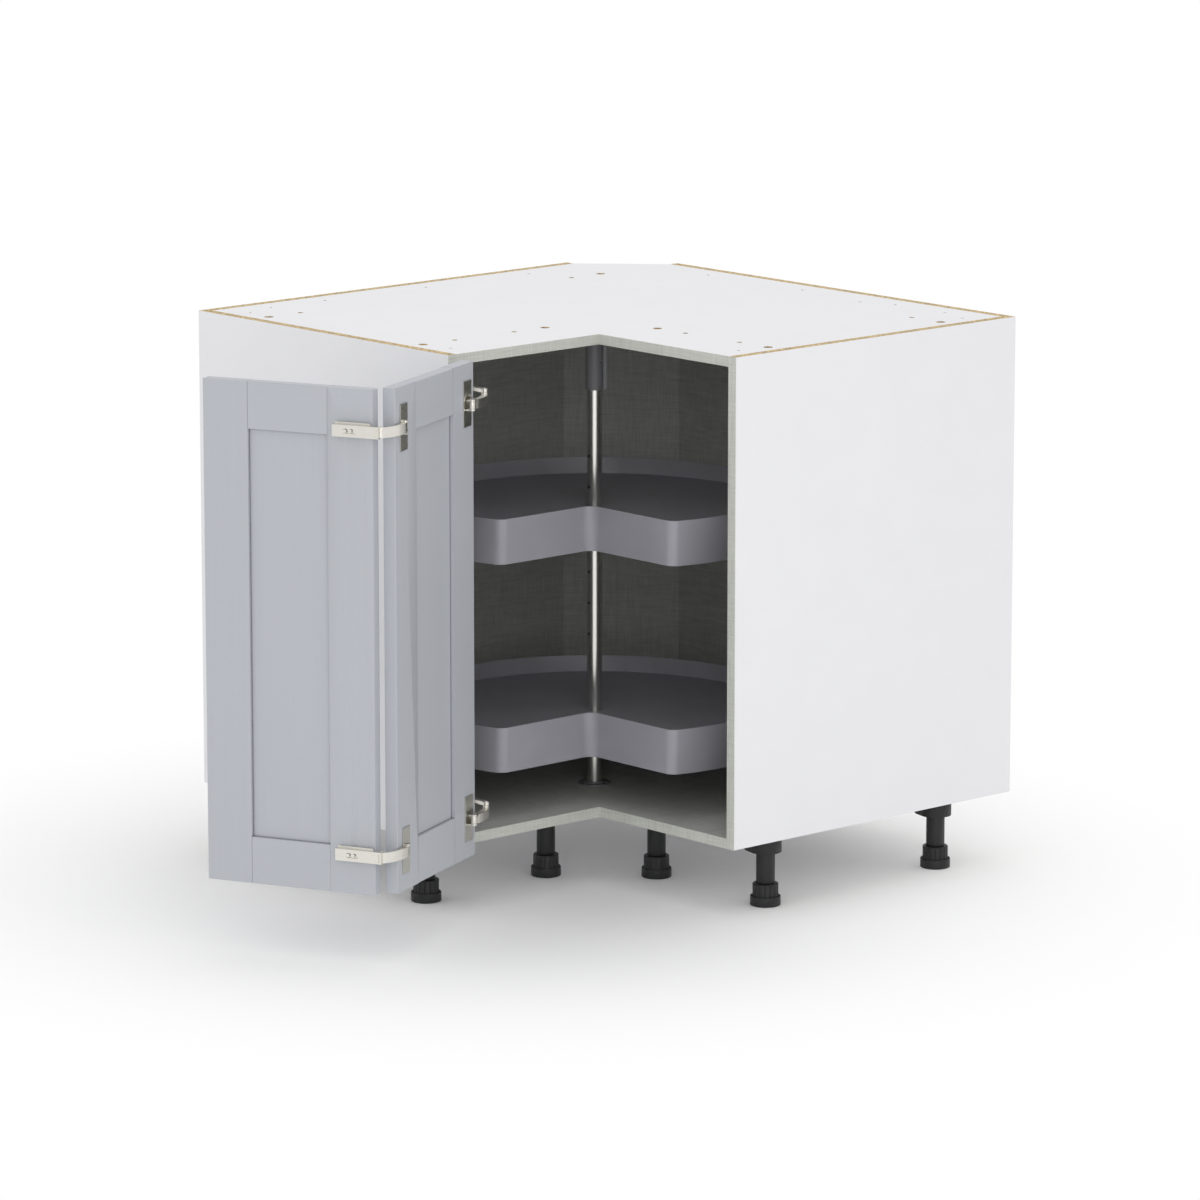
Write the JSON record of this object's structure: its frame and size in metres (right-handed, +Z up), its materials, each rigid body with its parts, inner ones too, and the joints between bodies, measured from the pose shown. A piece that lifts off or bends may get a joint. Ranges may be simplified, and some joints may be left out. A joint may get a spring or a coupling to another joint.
{
  "type": "corner carousel cabinet",
  "caption": "L-shaped corner base cabinet on levelling feet, with pie-cut trays turning on a pole and a folding pair of frame-and-panel doors on wide-angle hinges.",
  "frame": {"origin": "the room corner on the floor, where the planes of the two wall-side faces meet", "axes": "+Z up; +X runs along the back wall and -Y along the left wall; the two openings face +X and -Y at the inner corner"},
  "size_m": [0.914, 1.3196, 0.877],
  "materials": {
    "white_board": "smooth white melamine outside, light grey woven look inside and on the edge bands, raw chipboard edges",
    "linen_edge": "linen-textured edge band",
    "dowel_wood": "plain turned beech",
    "black_plastic": "moulded, satin",
    "grey_bracket": "satin grey",
    "grey_plug": "moulded",
    "nickel": "nickel plated, bright",
    "chrome_pole": "polished",
    "tray_plastic": "moulded, satin purplish grey",
    "slate_paint": "satin blue-grey paint on wood"
  },
  "bodies": {
    "carcass": {"side_panel_left": "white_board", "side_panel_right": "white_board", "wall_panel_left": "white_board", "wall_panel_right": "white_board", "corner_panel": "white_board", "top_panel": "white_board", "bottom_panel": "white_board", "edge_bands_upright": "linen_edge", "edge_bands_level": "linen_edge", "carcass_dowels": "dowel_wood", "foot_sockets": "black_plastic", "foot_tubes": "black_plastic", "pole_base_flange": "grey_bracket", "pole_base_screws": "nickel", "pole_top_bracket": "grey_bracket", "pole_top_screws": "nickel", "hinge_mounting_plates": "nickel", "hinge_plate_screws": "nickel", "hinge_arms": "nickel", "hinge_adjusting_screws": "nickel", "hinge_arm_pins": "nickel"},
    "carousel": {"pole": "chrome_pole", "pole_end_plug": "grey_plug", "tray_upper": "tray_plastic", "tray_lower": "tray_plastic", "tray_hubs": "tray_plastic", "tray_pins": "nickel"},
    "outer_links": {"hinge_outer_links": "nickel"},
    "inner_links": {"hinge_inner_links": "nickel", "hinge_middle_pins": "nickel"},
    "door_a": {"door_a_hinge_stile": "slate_paint", "door_a_fold_stile": "slate_paint", "door_a_top_rail": "slate_paint", "door_a_bottom_rail": "slate_paint", "door_a_panel": "slate_paint", "hinge_cups": "nickel", "hinge_cup_pins": "nickel", "hinge_cup_screws": "nickel", "fold_cups": "nickel", "fold_pins": "nickel", "fold_cup_screws": "nickel"},
    "door_b": {"door_b_fold_stile": "slate_paint", "door_b_free_stile": "slate_paint", "door_b_top_rail": "slate_paint", "door_b_bottom_rail": "slate_paint", "door_b_panel": "slate_paint", "fold_arms": "nickel", "fold_plates": "nickel", "fold_arm_screws": "nickel"},
    "foot_1": {"foot_adjuster_1": "black_plastic"},
    "foot_2": {"foot_adjuster_2": "black_plastic"},
    "foot_3": {"foot_adjuster_3": "black_plastic"},
    "foot_4": {"foot_adjuster_4": "black_plastic"},
    "foot_5": {"foot_adjuster_5": "black_plastic"},
    "foot_6": {"foot_adjuster_6": "black_plastic"},
    "foot_7": {"foot_adjuster_7": "black_plastic"}
  },
  "joints": [
    {"name": "carousel_turn", "type": "hinge", "parent": "carcass", "child": "carousel", "pos_m": [0.4767, -0.499, 0.126], "axis": [0, 0, 1], "range_deg": [-360, 360]},
    {"name": "outer_link_turn", "type": "hinge", "parent": "carcass", "child": "outer_links", "pos_m": [0.601, -0.8835, 0.1725], "axis": [0, 0, -1], "range_deg": [-153.43, 14.32]},
    {"name": "inner_link_turn", "type": "hinge", "parent": "outer_links", "child": "inner_links", "pos_m": [0.65835, -0.88764, 0.1725], "axis": [0, 0, -1], "range_deg": [-11.92, 127.69]},
    {"name": "door_swing", "type": "hinge", "parent": "inner_links", "child": "door_a", "pos_m": [0.68666, -0.93699, 0.1725], "axis": [0, 0, -1], "range_deg": [-129.77, 12.1]},
    {"name": "door_fold", "type": "hinge", "parent": "door_a", "child": "door_b", "pos_m": [0.77484, -1.14495, 0.1725], "axis": [0, 0, 1], "range_deg": [0, 60]},
    {"name": "foot_1_height", "type": "slide", "parent": "carcass", "child": "foot_1", "axis": [0, 0, -1], "range_m": [0, 0.02]},
    {"name": "foot_2_height", "type": "slide", "parent": "carcass", "child": "foot_2", "axis": [0, 0, -1], "range_m": [0, 0.02]},
    {"name": "foot_3_height", "type": "slide", "parent": "carcass", "child": "foot_3", "axis": [0, 0, -1], "range_m": [0, 0.02]},
    {"name": "foot_4_height", "type": "slide", "parent": "carcass", "child": "foot_4", "axis": [0, 0, -1], "range_m": [0, 0.02]},
    {"name": "foot_5_height", "type": "slide", "parent": "carcass", "child": "foot_5", "axis": [0, 0, -1], "range_m": [0, 0.02]},
    {"name": "foot_6_height", "type": "slide", "parent": "carcass", "child": "foot_6", "axis": [0, 0, -1], "range_m": [0, 0.02]},
    {"name": "foot_7_height", "type": "slide", "parent": "carcass", "child": "foot_7", "axis": [0, 0, -1], "range_m": [0, 0.02]}
  ],
  "couplings": [
    {"joint": "outer_link_turn", "follows": "door_swing", "ratio": 1.1823},
    {"joint": "inner_link_turn", "follows": "door_swing", "ratio": -0.98394}
  ]
}
